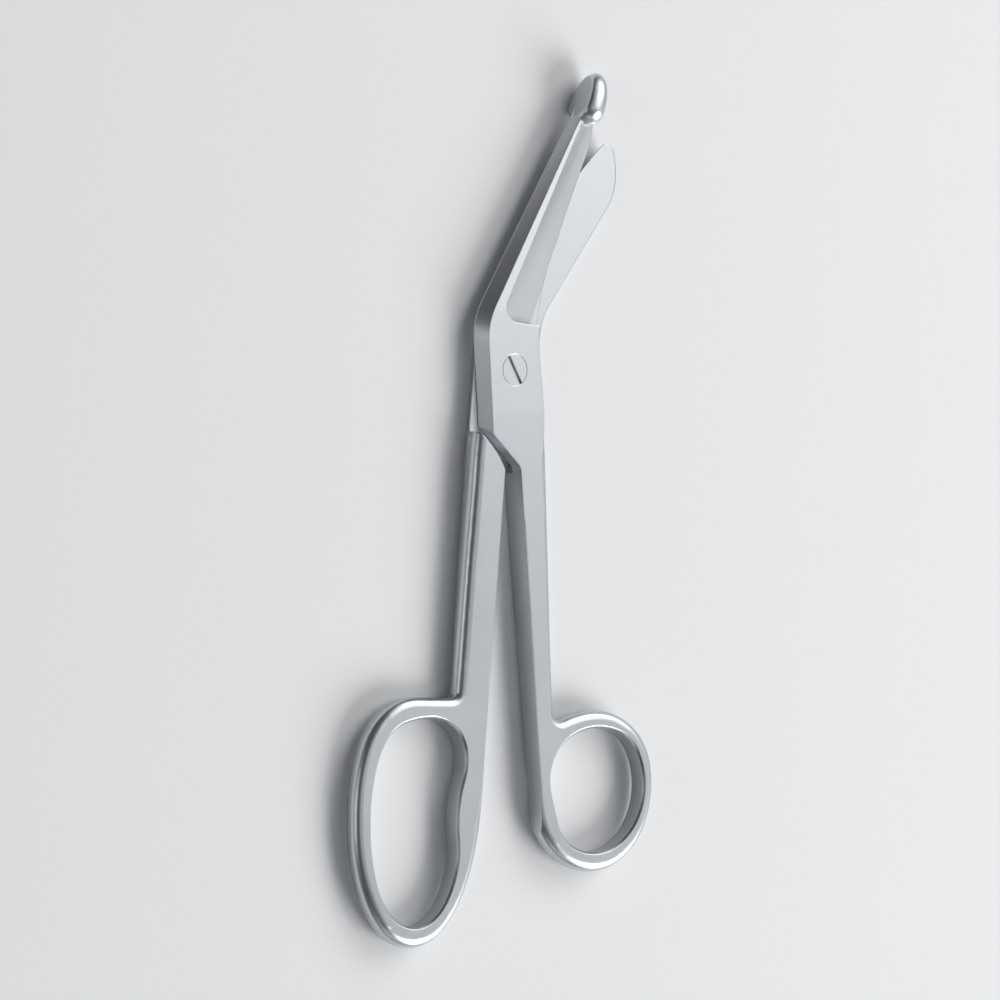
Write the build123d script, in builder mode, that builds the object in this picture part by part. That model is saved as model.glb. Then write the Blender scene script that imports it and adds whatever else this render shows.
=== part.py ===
from build123d import *
import os

# Bandage scissors: two forged arms lapped on one pivot screw. The probe arm is in front, the short-bladed
# arm is behind it. Millimetres. +Y runs towards the blade tips, +Z is the front, z = 0 is the flat back of
# the rear lap, and the origin is the pivot axis on that back.
# Each arm is drawn in its own frame with the scissors closed: z = 0 is the plane between the two laps, the
# arm's own lap rises from it to +z, its handle lies at +x and its cutting edge faces +x. The rear arm is
# then turned over about Y.

# Joint
lap_depth = 3.2  # thickness of one lap
lap_gap = 0.05  # running gap between the two mating faces
half_depth = lap_depth + lap_gap / 2
open_half = 5.0  # each arm's turn from closed, as stored
lap_half_width = 9.4  # half width of a lap at its mating face
side_lean = 1.8  # how far the sloped sides lean in over the lap's thickness
bend_radius = 15.0  # round where the lap's side turns into the blade's back
lap_end_y = -12.2  # where a lap's left side ends and its slanting end starts
root_y = -22.3  # where the slanting end meets the handle's inner face
root_radius = 3.0
stub_end_y = -34.0  # how far the lap's solid runs down into the handle

# Handles
handle_top_y = -10.0  # where a handle starts, inside the lap, and starts to thin towards its ring
ring_half = 2.45  # half the thickness of the rings
shank_round = 2.4  # round of a shank's outer side
ring_round = 2.1  # round of the rings
hole_break = 0.5  # broken edges of the finger holes
flank_grind = 1.5  # depth ground off a rounded handle to leave its flat inner flank
corner_radius = 2.0  # hollow corner between a shank and its ring
thumb_flank_x = 0.0
thumb_shank_end = -82.5  # where the shank has thinned to the thickness of its ring
finger_flank_x = 0.6
finger_shank_end = -77.0

# Screw
head_r = 3.55
head_rim = 0.5  # straight rim of the screw head
head_depth = 1.5
shoulder_r = 2.5
thread_r = 2.0
running_clearance = 0.05
thread_clearance = 0.01
slot_width = 0.75
slot_depth = 0.8
slot_turn = -60.0

# Blades
probe_blade_depth = 2.5  # thickness of the probe arm's blade at its end
rear_blade_depth = 1.6
edge_land = 0.25  # thickness left at a cutting edge
bevel_base_y = 11.7  # where the ground bevel starts, above the pivot
bevel_corner = 3.5
bevel_slope = 0.2  # fall of the bevel's lower end towards the cutting edge
blade_start = 2.0  # from there to where the blade starts to thin
hollow = 0.3  # how deep the bevel is hollowed

# Probe end
probe_centre = (28.3, 58.1)
probe_lean = 30.0  # lean of the probe's axis from Y
probe_half = 4.2
probe_swell = 1.04  # the probe is this much wider across the blade's faces
probe_tip = 9.0
probe_heel = 3.9
probe_sole = 2.45  # distance of the flattened sole from the probe's axis
probe_sole_round = 0.8
probe_lift = 1.15

far = 80.0  # reach of the cutting blocks


def side_profile(tip_y, tip_depth, end_y):
    # side view of an arm: thin at the blade's tip, full at the lap, thinning again down to the ring
    with BuildSketch(Plane.YZ) as profile:
        with BuildLine():
            Polyline(
                (tip_y, -half_depth),
                (tip_y, lap_gap / 2 + tip_depth),
                (bevel_base_y + blade_start, half_depth),
                (handle_top_y, half_depth),
                (end_y, ring_half),
                (end_y, -ring_half),
                (handle_top_y, -half_depth),
                close=True,
            )
        make_face()
    return profile.sketch


def screw_profile(clearance, top):
    # half section of the head and shoulder; with a clearance it is the hole that they turn in
    with BuildSketch(Plane.XZ) as profile:
        with BuildLine():
            Polyline(
                (0, -lap_gap / 2),
                (shoulder_r + clearance, -lap_gap / 2),
                (shoulder_r + clearance, half_depth - head_depth - clearance),
                (head_r + clearance, half_depth - head_rim - clearance),
                (head_r + clearance, top),
                (0, top),
                close=True,
            )
        make_face()
    return profile.sketch


def shoulder_relief():
    # room for the other arm's lap: all of this arm's handle behind the mating face and above its shoulder
    with BuildPart() as relief:
        with BuildSketch(Plane.XY.offset(lap_gap / 2)):
            with BuildLine():
                shoulder = Spline((0.3, -23.6), (2.0, -21.1), (4.6, -18.3), (8.1, -15.6), (12.0, -13.5))
                Polyline(
                    shoulder @ 1,
                    (far, (shoulder @ 1).Y),
                    (far, far),
                    (-far, far),
                    (-far, (shoulder @ 0).Y),
                    shoulder @ 0,
                )
            make_face()
        extrude(amount=-far)
    return relief.part


def long_edges(body, chosen):
    # edges round the front and back faces that pass the test
    faces = body.faces().filter_by(lambda face: abs(face.normal_at().Z) > 0.9)
    return [edge for face in faces for edge in face.edges() if chosen(edge)]


def arcs_along(curve, pairs):
    # follows a curve with pairs of arcs, each arc running smoothly into the next
    for i in range(pairs):
        start, end = curve @ (i / pairs), curve @ ((i + 1) / pairs)
        start_way, end_way = curve % (i / pairs), curve % ((i + 1) / pairs)
        chord = end - start
        along = chord.dot(start_way + end_way)
        bend = 2 * (1 - start_way.dot(end_way)) * chord.dot(chord)
        reach = chord.dot(chord) / (along + (along**2 + bend) ** 0.5)
        middle = (start + end + (start_way - end_way) * reach) / 2
        first = TangentArc(start, middle, tangent=start_way)
        last = TangentArc(middle, end, tangent=first % 1)
    return last


def handle(flank_x, shank_points, rim_points, rim_pairs, hole_points, hole_pairs):
    # shank and ring are rounded apart, joined, pierced by the hole and ground flat on the inner flank
    # the rim runs from the flank round the ring to the hollow corner under the shank
    left = flank_x - flank_grind
    corner = rim_points[-1]
    shank_end = shank_points[-1][1]
    with BuildPart() as shank:
        with BuildSketch():
            with BuildLine():
                outer = Spline(*shank_points)
                Polyline(outer @ 1, (left, shank_end), (left, handle_top_y), outer @ 0)
            make_face()
        extrude(amount=half_depth, both=True)
        extrude(side_profile(far, lap_depth, shank_end), amount=far, both=True, mode=Mode.INTERSECT)
        sides = long_edges(shank, lambda edge: edge.length > far / 2)
        fillet([edge for edge in sides if edge.center().X > left + 3], shank_round)
        sides = long_edges(shank, lambda edge: edge.length > far / 2)
        fillet([edge for edge in sides if edge.center().X < left + 3], ring_round)
    stub_y = corner[1] + 5
    with BuildPart() as ring:
        with BuildSketch() as ring_plan:
            with BuildLine():
                top = Line((corner[0], stub_y), (left, stub_y))
                Line(top @ 1, rim_points[0])
                rim = arcs_along(Spline(*rim_points, mode=Mode.PRIVATE), rim_pairs)
                Line(rim @ 1, top @ 0)
            make_face()
            fillet(ring_plan.vertices().sort_by_distance(corner)[0], corner_radius)
        extrude(amount=ring_half, both=True)
        fillet(
            long_edges(ring, lambda edge: edge.center().Y < stub_y - 0.1 and edge.center().X > left + 0.1),
            ring_round,
        )
        with BuildSketch():
            with BuildLine():
                arcs_along(Spline(*hole_points, periodic=True, mode=Mode.PRIVATE), hole_pairs)
            make_face()
        extrude(amount=far, both=True, mode=Mode.SUBTRACT)
        faces = ring.faces().filter_by(lambda face: abs(face.normal_at().Z) > 0.9)
        chamfer([edge for face in faces for wire in face.inner_wires() for edge in wire.edges()], hole_break)
    with BuildPart() as body:
        add(shank)
        add(ring)
        with Locations((flank_x - far / 2, -far, 0)):
            Box(far, 4 * far, far, mode=Mode.SUBTRACT)
        add(shoulder_relief(), mode=Mode.SUBTRACT)
    return body.part


def bevel_cutter(left, right, tip_y, tip_depth):
    # the steel ground away to make a cutting edge: a shallow hollow between its two boundary lines, with a
    # steep wall at its lower end. left and right give each boundary's x at base_y and at tip_y
    base_y = bevel_base_y - bevel_corner
    outer_z = (half_depth, lap_gap / 2 + tip_depth)
    edge_z = lap_gap / 2 + edge_land
    clear_z = half_depth + 3
    reach = 9
    with BuildPart() as cutter:
        for i, y in enumerate((base_y, tip_y)):
            with BuildSketch(Plane.XZ.offset(-y)):
                with BuildLine():
                    ground = ThreePointArc(
                        (left[i], outer_z[i]),
                        ((left[i] + right[i]) / 2, (outer_z[i] + edge_z) / 2 - hollow),
                        (right[i], edge_z),
                    )
                    Polyline(
                        ground @ 1,
                        (right[i] + reach, edge_z),
                        (right[i] + reach, clear_z),
                        (left[i], clear_z),
                        ground @ 0,
                    )
                make_face()
        loft(ruled=True)
        lean = (left[1] - left[0]) / (tip_y - base_y)
        with BuildSketch() as mask:
            with BuildLine():
                Polyline(
                    (left[0] + lean * bevel_corner, bevel_base_y),
                    (far, bevel_base_y - bevel_slope * far),
                    (far, tip_y),
                    (left[1], tip_y),
                    close=True,
                )
            make_face()
            fillet(mask.vertices().sort_by(Axis.X)[0:2].sort_by(Axis.Y)[0], bevel_corner)
        extrude(amount=far, both=True, mode=Mode.INTERSECT)
    return cutter.part


def probe_button():
    # egg-shaped button, its axis along Y, with a flattened sole towards -X
    with BuildPart() as button:
        with BuildSketch():
            with BuildLine():
                heel = EllipticalCenterArc((0, 0), probe_half, probe_heel, start_angle=-90, arc_size=90)
                tip = EllipticalCenterArc((0, 0), probe_half, probe_tip, start_angle=0, arc_size=90)
                Line(tip @ 1, heel @ 0)
            make_face()
        revolve(axis=Axis.Y)
        scale(by=(1, 1, probe_swell))
        with Locations((-probe_sole - far / 2, 0, 0)):
            Box(far, far, far, mode=Mode.SUBTRACT)
        fillet(button.faces().sort_by(Axis.X)[0].edges(), probe_sole_round)
    return button.part


def head(mating, outer, tip_y, tip_depth, shank_end):
    # lap and blade in one piece, its sides sloping in from the mating face to the outer face
    with BuildPart() as body:
        with BuildSketch(Plane.XY.offset(lap_gap / 2)):
            add(mating)
        with BuildSketch(Plane.XY.offset(half_depth)):
            add(outer)
        loft(ruled=True)
        extrude(side_profile(tip_y, tip_depth, shank_end), amount=far, both=True, mode=Mode.INTERSECT)
    return body.part


def probe_head_outline(lean):
    # lean is 0 at the mating face and side_lean at the outer face; the cutting edge itself stays upright
    side = lap_half_width - lean
    with BuildSketch() as outline:
        with BuildLine():
            spine = Line((26.4 + 0.8 * lean, 59.6 - 0.2 * lean), (0.4 + 0.1 * lean - side, 12.3 - 0.6 * lean))
            left = Line(spine @ 1, (-side, lap_end_y - 1.08 * lean))
            end = Line(left @ 1, (thumb_flank_x, root_y))
            inner = Line(end @ 1, (thumb_flank_x, stub_end_y))
            low = Line(inner @ 1, (side - 3, stub_end_y))
            right = Line(low @ 1, (side, -14))
            flare = Spline(right @ 1, (side + 0.1, 2), (side + 1.0, 10.6), (13.0, 19.5), (17.6, 28.3))
            edge = Spline(flare @ 1, (22.3, 37.1), (27.2, 45.8), (30.0, 51.6), (31.0, 57.0))
            Line(edge @ 1, spine @ 0)
        make_face()
        fillet(outline.vertices().sort_by_distance(spine @ 1)[0], bend_radius - lean)
        fillet(outline.vertices().sort_by_distance(end @ 1)[0], root_radius)
    return outline.sketch


def rear_head_outline(lean):
    # the short blade crosses the handle's line, so its cutting edge runs from upper left to lower right
    side = lap_half_width - lean
    share = lean / side_lean
    with BuildSketch() as outline:
        with BuildLine():
            spine = Line((-27.3 + 0.75 * lean, 40.4 - 0.3 * lean), (-13.9 + 0.85 * lean, 19.4 - 0.4 * lean))
            bend = Spline(
                spine @ 1,
                (-10.3 + 0.95 * lean, 13.2 - 0.3 * lean),
                (-side, 7),
                tangents=(spine % 1, (0, -1)),
            )
            left = Line(bend @ 1, (-side, lap_end_y - 1.08 * lean))
            end = Line(left @ 1, (finger_flank_x, root_y - 0.6))
            inner = Line(end @ 1, (finger_flank_x, stub_end_y))
            low = Line(inner @ 1, (side - 3, stub_end_y))
            right = Line(low @ 1, (side + 0.3, -14))
            flare = Line(right @ 1, (side, 7))
            corner = Line(flare @ 1, (4.5 - share, 14))
            edge = Line(corner @ 1, (-18.0, 47.2))
            tip_edge = Spline(edge @ 1, (-20.4, 50.0), (-22.6, 52.5), (-25.2, 55.0))
            Spline(
                tip_edge @ 1,
                (-27.1 + 0.3 * lean, 54.6 - 0.4 * lean),
                (-28.6 + 0.8 * lean, 51.6 - 0.3 * lean),
                (-29.2 + lean, 47.2),
                (-28.7 + 0.9 * lean, 43.6),
                spine @ 0,
            )
        make_face()
        fillet(outline.vertices().sort_by_distance(end @ 1)[0], root_radius)
    return outline.sketch


# Handle with the round thumb ring
thumb_handle = handle(
    thumb_flank_x,
    [(7.4, handle_top_y), (8.5, -15.5), (8.5, -23), (7.6, -44), (6.45, -72), (6.2, thumb_shank_end)],
    [
        (thumb_flank_x - flank_grind, -98.7),
        (0.6, -107.6),
        (7.0, -114.5),
        (16.0, -117.2),
        (25.1, -114.7),
        (32.0, -107.6),
        (34.5, -98.5),
        (32.6, -88.2),
        (26.9, -82.7),
        (17.5, -80.2),
        (6.1, -82.0),
    ],
    4,
    [
        (3.5, -97.5),
        (5.2, -89.9),
        (9.7, -85.8),
        (18.0, -84.4),
        (27.3, -87.4),
        (31.3, -97.0),
        (28.8, -105.8),
        (24.8, -110.0),
        (15.8, -112.7),
        (6.4, -108.4),
    ],
    6,
)

# Handle with the long finger ring, which has a wave on its inner side where the fingers sit
finger_handle = handle(
    finger_flank_x,
    [(8.4, handle_top_y), (9.2, -15.5), (9.4, -25), (9.55, -44), (9.6, finger_shank_end)],
    [
        (finger_flank_x - flank_grind, -98),
        (1.6, -115.0),
        (8.0, -128.0),
        (18.0, -133.2),
        (28.3, -128.2),
        (34.4, -118.0),
        (37.2, -102.0),
        (36.4, -92.0),
        (32.8, -83.4),
        (26.5, -78.0),
        (19.0, -76.3),
        (9.3, -75.7),
    ],
    6,
    [
        (17.0, -81.0),
        (11.6, -81.9),
        (7.4, -85.0),
        (5.9, -90.5),
        (7.1, -98.0),
        (7.3, -104.5),
        (6.5, -112.5),
        (8.6, -120.8),
        (13.0, -126.8),
        (18.4, -128.8),
        (24.8, -126.0),
        (30.2, -117.0),
        (32.4, -105.0),
        (31.4, -92.5),
        (27.4, -84.7),
        (22.4, -81.6),
    ],
    9,
)

# Probe arm in its own frame
with BuildPart() as probe_forging:
    add(thumb_handle)
    add(head(probe_head_outline(0), probe_head_outline(side_lean), 62, probe_blade_depth, thumb_shank_end))
    add(bevel_cutter((-5.8, 27.6), (6.9, 33.3), 58, probe_blade_depth), mode=Mode.SUBTRACT)
    with Locations(Location((*probe_centre, probe_lift), (0, 0, -probe_lean))):
        add(probe_button())
    add(revolve(screw_profile(running_clearance, far), Axis.Z, mode=Mode.PRIVATE), mode=Mode.SUBTRACT)

# Rear arm in its own frame
with BuildPart() as rear_forging:
    add(finger_handle)
    add(head(rear_head_outline(0), rear_head_outline(side_lean), 60, rear_blade_depth, finger_shank_end))
    add(bevel_cutter((-2.6, -33), (8.4, -25.3), 58, rear_blade_depth), mode=Mode.SUBTRACT)
    Cylinder(thread_r + thread_clearance, far, mode=Mode.SUBTRACT)

# The three pieces where they sit, open as stored
with BuildPart() as probe_arm:
    with Locations(Location((0, 0, half_depth), (0, 0, open_half))):
        add(probe_forging.part)

with BuildPart() as rear_arm:
    with Locations(Location((0, 0, half_depth), (0, 180, open_half))):
        add(rear_forging.part)

with BuildPart() as pivot_screw:
    with Locations((0, 0, half_depth)):
        add(revolve(screw_profile(0, half_depth), Axis.Z, mode=Mode.PRIVATE))
    Cylinder(thread_r, half_depth, align=(Align.CENTER, Align.CENTER, Align.MIN))
    with Locations(Location((0, 0, 2 * half_depth), (0, 0, slot_turn))):
        Box(3 * head_r, slot_width, 2 * slot_depth, mode=Mode.SUBTRACT)

probe_arm.part.label = "probe_arm"
rear_arm.part.label = "rear_arm"
pivot_screw.part.label = "pivot_screw"

os.makedirs("parts", exist_ok=True)
export_step(probe_arm.part, "parts/probe_arm.step")
export_step(rear_arm.part, "parts/rear_arm.step")
export_step(pivot_screw.part, "parts/pivot_screw.step")
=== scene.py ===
# %% [markdown]
# # Bandage scissors
# Two forged steel arms turn on one slotted screw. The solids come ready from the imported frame, each at its
# true size, so this lesson is about how satin steel is shown: the finish on each piece, the pale table that
# they lie on, the lamps and cards that the steel reflects, and the camera.

# %% Load the frame
import math

import bmesh
import bpy
from mathutils import Matrix, Vector


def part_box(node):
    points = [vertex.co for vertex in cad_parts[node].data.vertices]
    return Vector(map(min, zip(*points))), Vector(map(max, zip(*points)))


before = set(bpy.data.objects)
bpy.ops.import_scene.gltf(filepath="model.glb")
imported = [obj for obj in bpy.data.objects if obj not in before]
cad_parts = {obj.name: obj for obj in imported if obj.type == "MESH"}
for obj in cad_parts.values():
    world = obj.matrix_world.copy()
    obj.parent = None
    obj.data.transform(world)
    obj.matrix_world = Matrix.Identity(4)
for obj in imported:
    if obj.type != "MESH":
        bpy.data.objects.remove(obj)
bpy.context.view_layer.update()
print("nodes:", sorted(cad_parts))

# %% [markdown]
# ## A small language for finishes
# A finish is arithmetic on numbers that change over the surface. The nodes could be placed and linked one by
# one, but then the sum is lost in the wiring. So Sock wraps one socket of a shader node, and plain arithmetic
# on it, with a number on either side, adds the Math nodes. Every node comes from one method of Finish. It
# takes the node's type and its settings, which are set first because they decide which sockets are in use,
# and then the values or links of those sockets, in order or by name.


# %% Finish builder
class Sock:
    def __init__(self, finish, socket):
        self.finish = finish
        self.socket = socket

    def _math(self, operation, first, second):
        return self.finish.node("Math", {"operation": operation}, first, second)

    def __add__(self, other):
        return self._math("ADD", self, other)

    def __radd__(self, other):
        return self._math("ADD", other, self)

    def __sub__(self, other):
        return self._math("SUBTRACT", self, other)

    def __rsub__(self, other):
        return self._math("SUBTRACT", other, self)

    def __mul__(self, other):
        return self._math("MULTIPLY", self, other)

    def __rmul__(self, other):
        return self._math("MULTIPLY", other, self)


class Finish:
    def __init__(self, name):
        self.material = bpy.data.materials.new(name)
        self.material.use_nodes = True
        self.tree = self.material.node_tree
        self.tree.nodes.clear()

    def plug(self, value, socket):
        if isinstance(value, Sock):
            self.tree.links.new(value.socket, socket)
        else:
            socket.default_value = value

    def node(self, kind, settings=None, *values, out=None, **named):
        made = self.tree.nodes.new("ShaderNode" + kind)
        for key, value in (settings or {}).items():
            setattr(made, key, value)
        inputs = [socket for socket in made.inputs if socket.enabled]
        for value, socket in zip(values, inputs):
            self.plug(value, socket)
        for key, value in named.items():
            label = key.replace("_", " ")
            self.plug(value, next(socket for socket in inputs if socket.name == label))
        outputs = [socket for socket in made.outputs if socket.enabled and out in (None, socket.name)]
        return Sock(self, outputs[0] if outputs else None)

    def done(self, surface):
        self.node("OutputMaterial", Surface=surface)
        return self.material


print("finish builder ready")

# %% [markdown]
# ## Satin steel
# The arms are forged, ground and then glass-bead blasted or fine-brushed to a satin sheen. Up close that is
# a very fine grain that scatters the reflection a little. A picture of such a surface would stretch over the
# shanks and rings, so noise in the steel's own coordinates is used: a fine grain moves the roughness and tips
# the normal, and a broad faint cloud keeps large flats from looking computed. The Bevel node rounds the
# shading at the sharp edges by a few tenths of a millimetre, as a broken edge does, and leaves the solids
# as they are. The screw's steel is set a touch warmer, and its slot keeps sharper edges.

# %% Satin steel finish
grain_scale, cloud_scale = 2600.0, 45.0
grain_share, cloud_share = 0.06, 0.05  # how far each moves the roughness from end to end
colour_spread = 0.03
bump_strength, bump_depth = 0.05, 0.0002
middle = 0.5  # of a noise that runs from 0 to 1


def satin_steel(name, colour, roughness, edge_mm):
    steel = Finish(name)
    place = steel.node("TexCoord", out="Object")
    grain = steel.node("TexNoise", Vector=place, Scale=grain_scale, Detail=3.0, Roughness=0.6)
    cloud = steel.node("TexNoise", Vector=place, Scale=cloud_scale, Detail=2.0, Roughness=0.5)
    edge = steel.node("Bevel", {"samples": 6}, Radius=edge_mm / 1000)
    bump = steel.node("Bump", Strength=bump_strength, Distance=bump_depth, Height=grain, Normal=edge)
    darker, lighter = [
        (*[channel * (1 + change) for channel in colour], 1) for change in (-colour_spread, colour_spread)
    ]
    tone = steel.node("Mix", {"data_type": "RGBA"}, Factor=cloud, A=darker, B=lighter)
    rough = roughness + (grain - middle) * grain_share + (cloud - middle) * cloud_share
    return steel.done(
        steel.node("BsdfPrincipled", Base_Color=tone, Metallic=1.0, Roughness=rough, Normal=bump)
    )


arm_steel = satin_steel("arm_steel_satin", (0.60, 0.62, 0.645), roughness=0.33, edge_mm=0.35)
screw_steel = satin_steel("screw_steel_satin", (0.60, 0.615, 0.635), roughness=0.34, edge_mm=0.12)
finishes = {"probe_arm": arm_steel, "rear_arm": arm_steel, "pivot_screw": screw_steel}
for node_name, finish in finishes.items():
    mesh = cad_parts[node_name].data
    mesh.materials.clear()
    mesh.materials.append(finish)
    low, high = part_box(node_name)
    print(node_name, "is", [round(1000 * side, 1) for side in high - low], "mm")

# %% [markdown]
# ## The table
# The scissors lie on a plain white table, which takes their soft shadow. The shadow matters to the steel too:
# the upright inner walls of the shanks and rings look down into it, and that is what turns them dark. A
# curved backdrop isn't needed, because the camera looks down: one big square with a faint mottle is enough.

# %% White table
mottle_scale, mottle_share, paint_roughness = 30.0, 0.01, 0.85


def painted(name, value):
    paint = Finish(name)
    place = paint.node("TexCoord", out="Object")
    mottle = paint.node("TexNoise", Vector=place, Scale=mottle_scale, Detail=4.0)
    tone = value + (mottle - middle) * mottle_share
    colour = paint.node("CombineColor", Red=tone, Green=tone, Blue=tone)
    return paint.done(paint.node("BsdfPrincipled", Base_Color=colour, Roughness=paint_roughness))


def sheet(name, corners, value):
    flat = bmesh.new()
    flat.faces.new([flat.verts.new(corner) for corner in corners])
    mesh = bpy.data.meshes.new(name)
    flat.to_mesh(mesh)
    flat.free()
    mesh.materials.append(painted(name + "_paint", value))
    made = bpy.data.objects.new(name, mesh)
    bpy.context.scene.collection.objects.link(made)
    return made


table_half, table_value = 3.0, 0.94
square = [(-1, -1), (1, -1), (1, 1), (-1, 1)]
sheet("table", [(x * table_half, y * table_half, 0) for x, y in square], table_value)
print("table is", 2 * table_half, "m square")

# %% [markdown]
# ## Light
# Satin steel shows what stands round it, so each lamp is placed by what a face mirrors to the camera. The
# flat fronts look up to the right into lamp_right, which is large and soft, and the rims that turn towards
# the tips look into lamp_beyond. The brightest, lamp_key, stands low on the right at the ring end, lights the
# table and throws the soft shadow to the left. The ground bevels look lower to the right, into lamp_low, and
# lamp_left draws the bright line down each rounded side. lamp_near and lamp_above are faint: they keep the
# steel from going black when it is seen from another side. The room round it all is a dim, cool grey.


# %% Lamps
def soft_lamp(name, place, width, height, level):
    # level is how bright the lamp's face looks, where 1 is white
    data = bpy.data.lights.new(name, "AREA")
    data.shape = "RECTANGLE"
    data.size = width
    data.size_y = height
    data.energy = 4 * level * width * height  # which Cycles divides by four times the face's area
    lamp = bpy.data.objects.new(name, data)
    lamp.location = place
    lamp.rotation_euler = (-Vector(place)).to_track_quat("-Z", "Y").to_euler()
    bpy.context.scene.collection.objects.link(lamp)


soft_lamp("lamp_right", (1.15, 0.74, 1.15), width=1.4, height=1.5, level=1.42)
soft_lamp("lamp_key", (1.8, -1.55, 1.3), width=1.7, height=1.6, level=5.2)
soft_lamp("lamp_beyond", (1.4, 1.6, 1.2), width=1.8, height=1.0, level=1.5)
soft_lamp("lamp_left", (-2.0, 0.0, 0.95), width=1.0, height=0.7, level=1.3)
soft_lamp("lamp_near", (-0.2, -2.2, 1.0), width=1.6, height=1.0, level=0.5)
soft_lamp("lamp_above", (0.2, 0.1, 2.6), width=1.3, height=1.5, level=0.45)
soft_lamp("lamp_low", (1.5, -0.25, 0.6), width=0.8, height=0.8, level=0.5)

room_colour, room_level = (0.75, 0.87, 1.0, 1), 0.09
world = bpy.data.worlds.new("room")
bpy.context.scene.world = world
world.use_nodes = True
background = world.node_tree.nodes["Background"]
background.inputs["Color"].default_value = room_colour
background.inputs["Strength"].default_value = room_level

# %% [markdown]
# ## Dark cards
# The sloped backs of the blades look out low over the table beyond the tips. A bright table there would wash
# them out, so one dark card lies just above it and another stands at that card's far edge. They are there for
# reflections only: the camera doesn't see them, they throw no shadow and the table isn't darkened by them, so
# they don't show in a view from another side.

# %% Cards
card_value, card_height, card_lift = 0.04, 0.3, 0.001
near_left, near_right = (-0.25, 0.13), (0.15, 0.13)
far_left, far_right = (-0.65, 0.46), (0.15, 0.7)
lying = [(*corner, card_lift) for corner in (near_left, near_right, far_right, far_left)]
foot = [(*corner, 0) for corner in (far_left, far_right)]
top = [(*corner, card_height) for corner in (far_right, far_left)]
for name, corners in {"card_lying": lying, "card_standing": foot + top}.items():
    card = sheet(name, corners, card_value)
    card.visible_camera = card.visible_shadow = card.visible_diffuse = False
    print(name, "has its corners at", corners)

# %% [markdown]
# ## Camera
# The picture is taken through a long lens from the left and above, so the scissors stand upright in it and
# hardly narrow with distance. The angle comes from the round screw head, which shows as an oval 0.766 times
# as wide as it is high: that is the cosine of 40 degrees. The camera could be turned by angles, but three
# directions, right, up and back, say plainly where its picture lies.

# %% Long lens
camera_data = bpy.data.cameras.new("camera")
camera_data.lens = 300
camera_data.sensor_width = 36
camera_data.clip_end = 20
camera = bpy.data.objects.new("camera", camera_data)
bpy.context.scene.collection.objects.link(camera)
bpy.context.scene.camera = camera

side_angle = math.radians(40)
back = Vector((-math.sin(side_angle), 0, math.cos(side_angle)))
right = Vector((math.cos(side_angle), 0, math.sin(side_angle)))
up = Vector((0, 1, 0))
picture_width = 0.2286
target = Vector((-0.00176, -0.02972, 0.003225))
distance = picture_width * camera_data.lens / camera_data.sensor_width
stand = target + back * distance
camera.matrix_world = Matrix(
    (
        (right.x, up.x, back.x, stand.x),
        (right.y, up.y, back.y, stand.y),
        (right.z, up.z, back.z, stand.z),
        (0, 0, 0, 1),
    )
)
bpy.context.scene.view_settings.view_transform = "Standard"
print("camera stands", round(distance, 2), "m away")
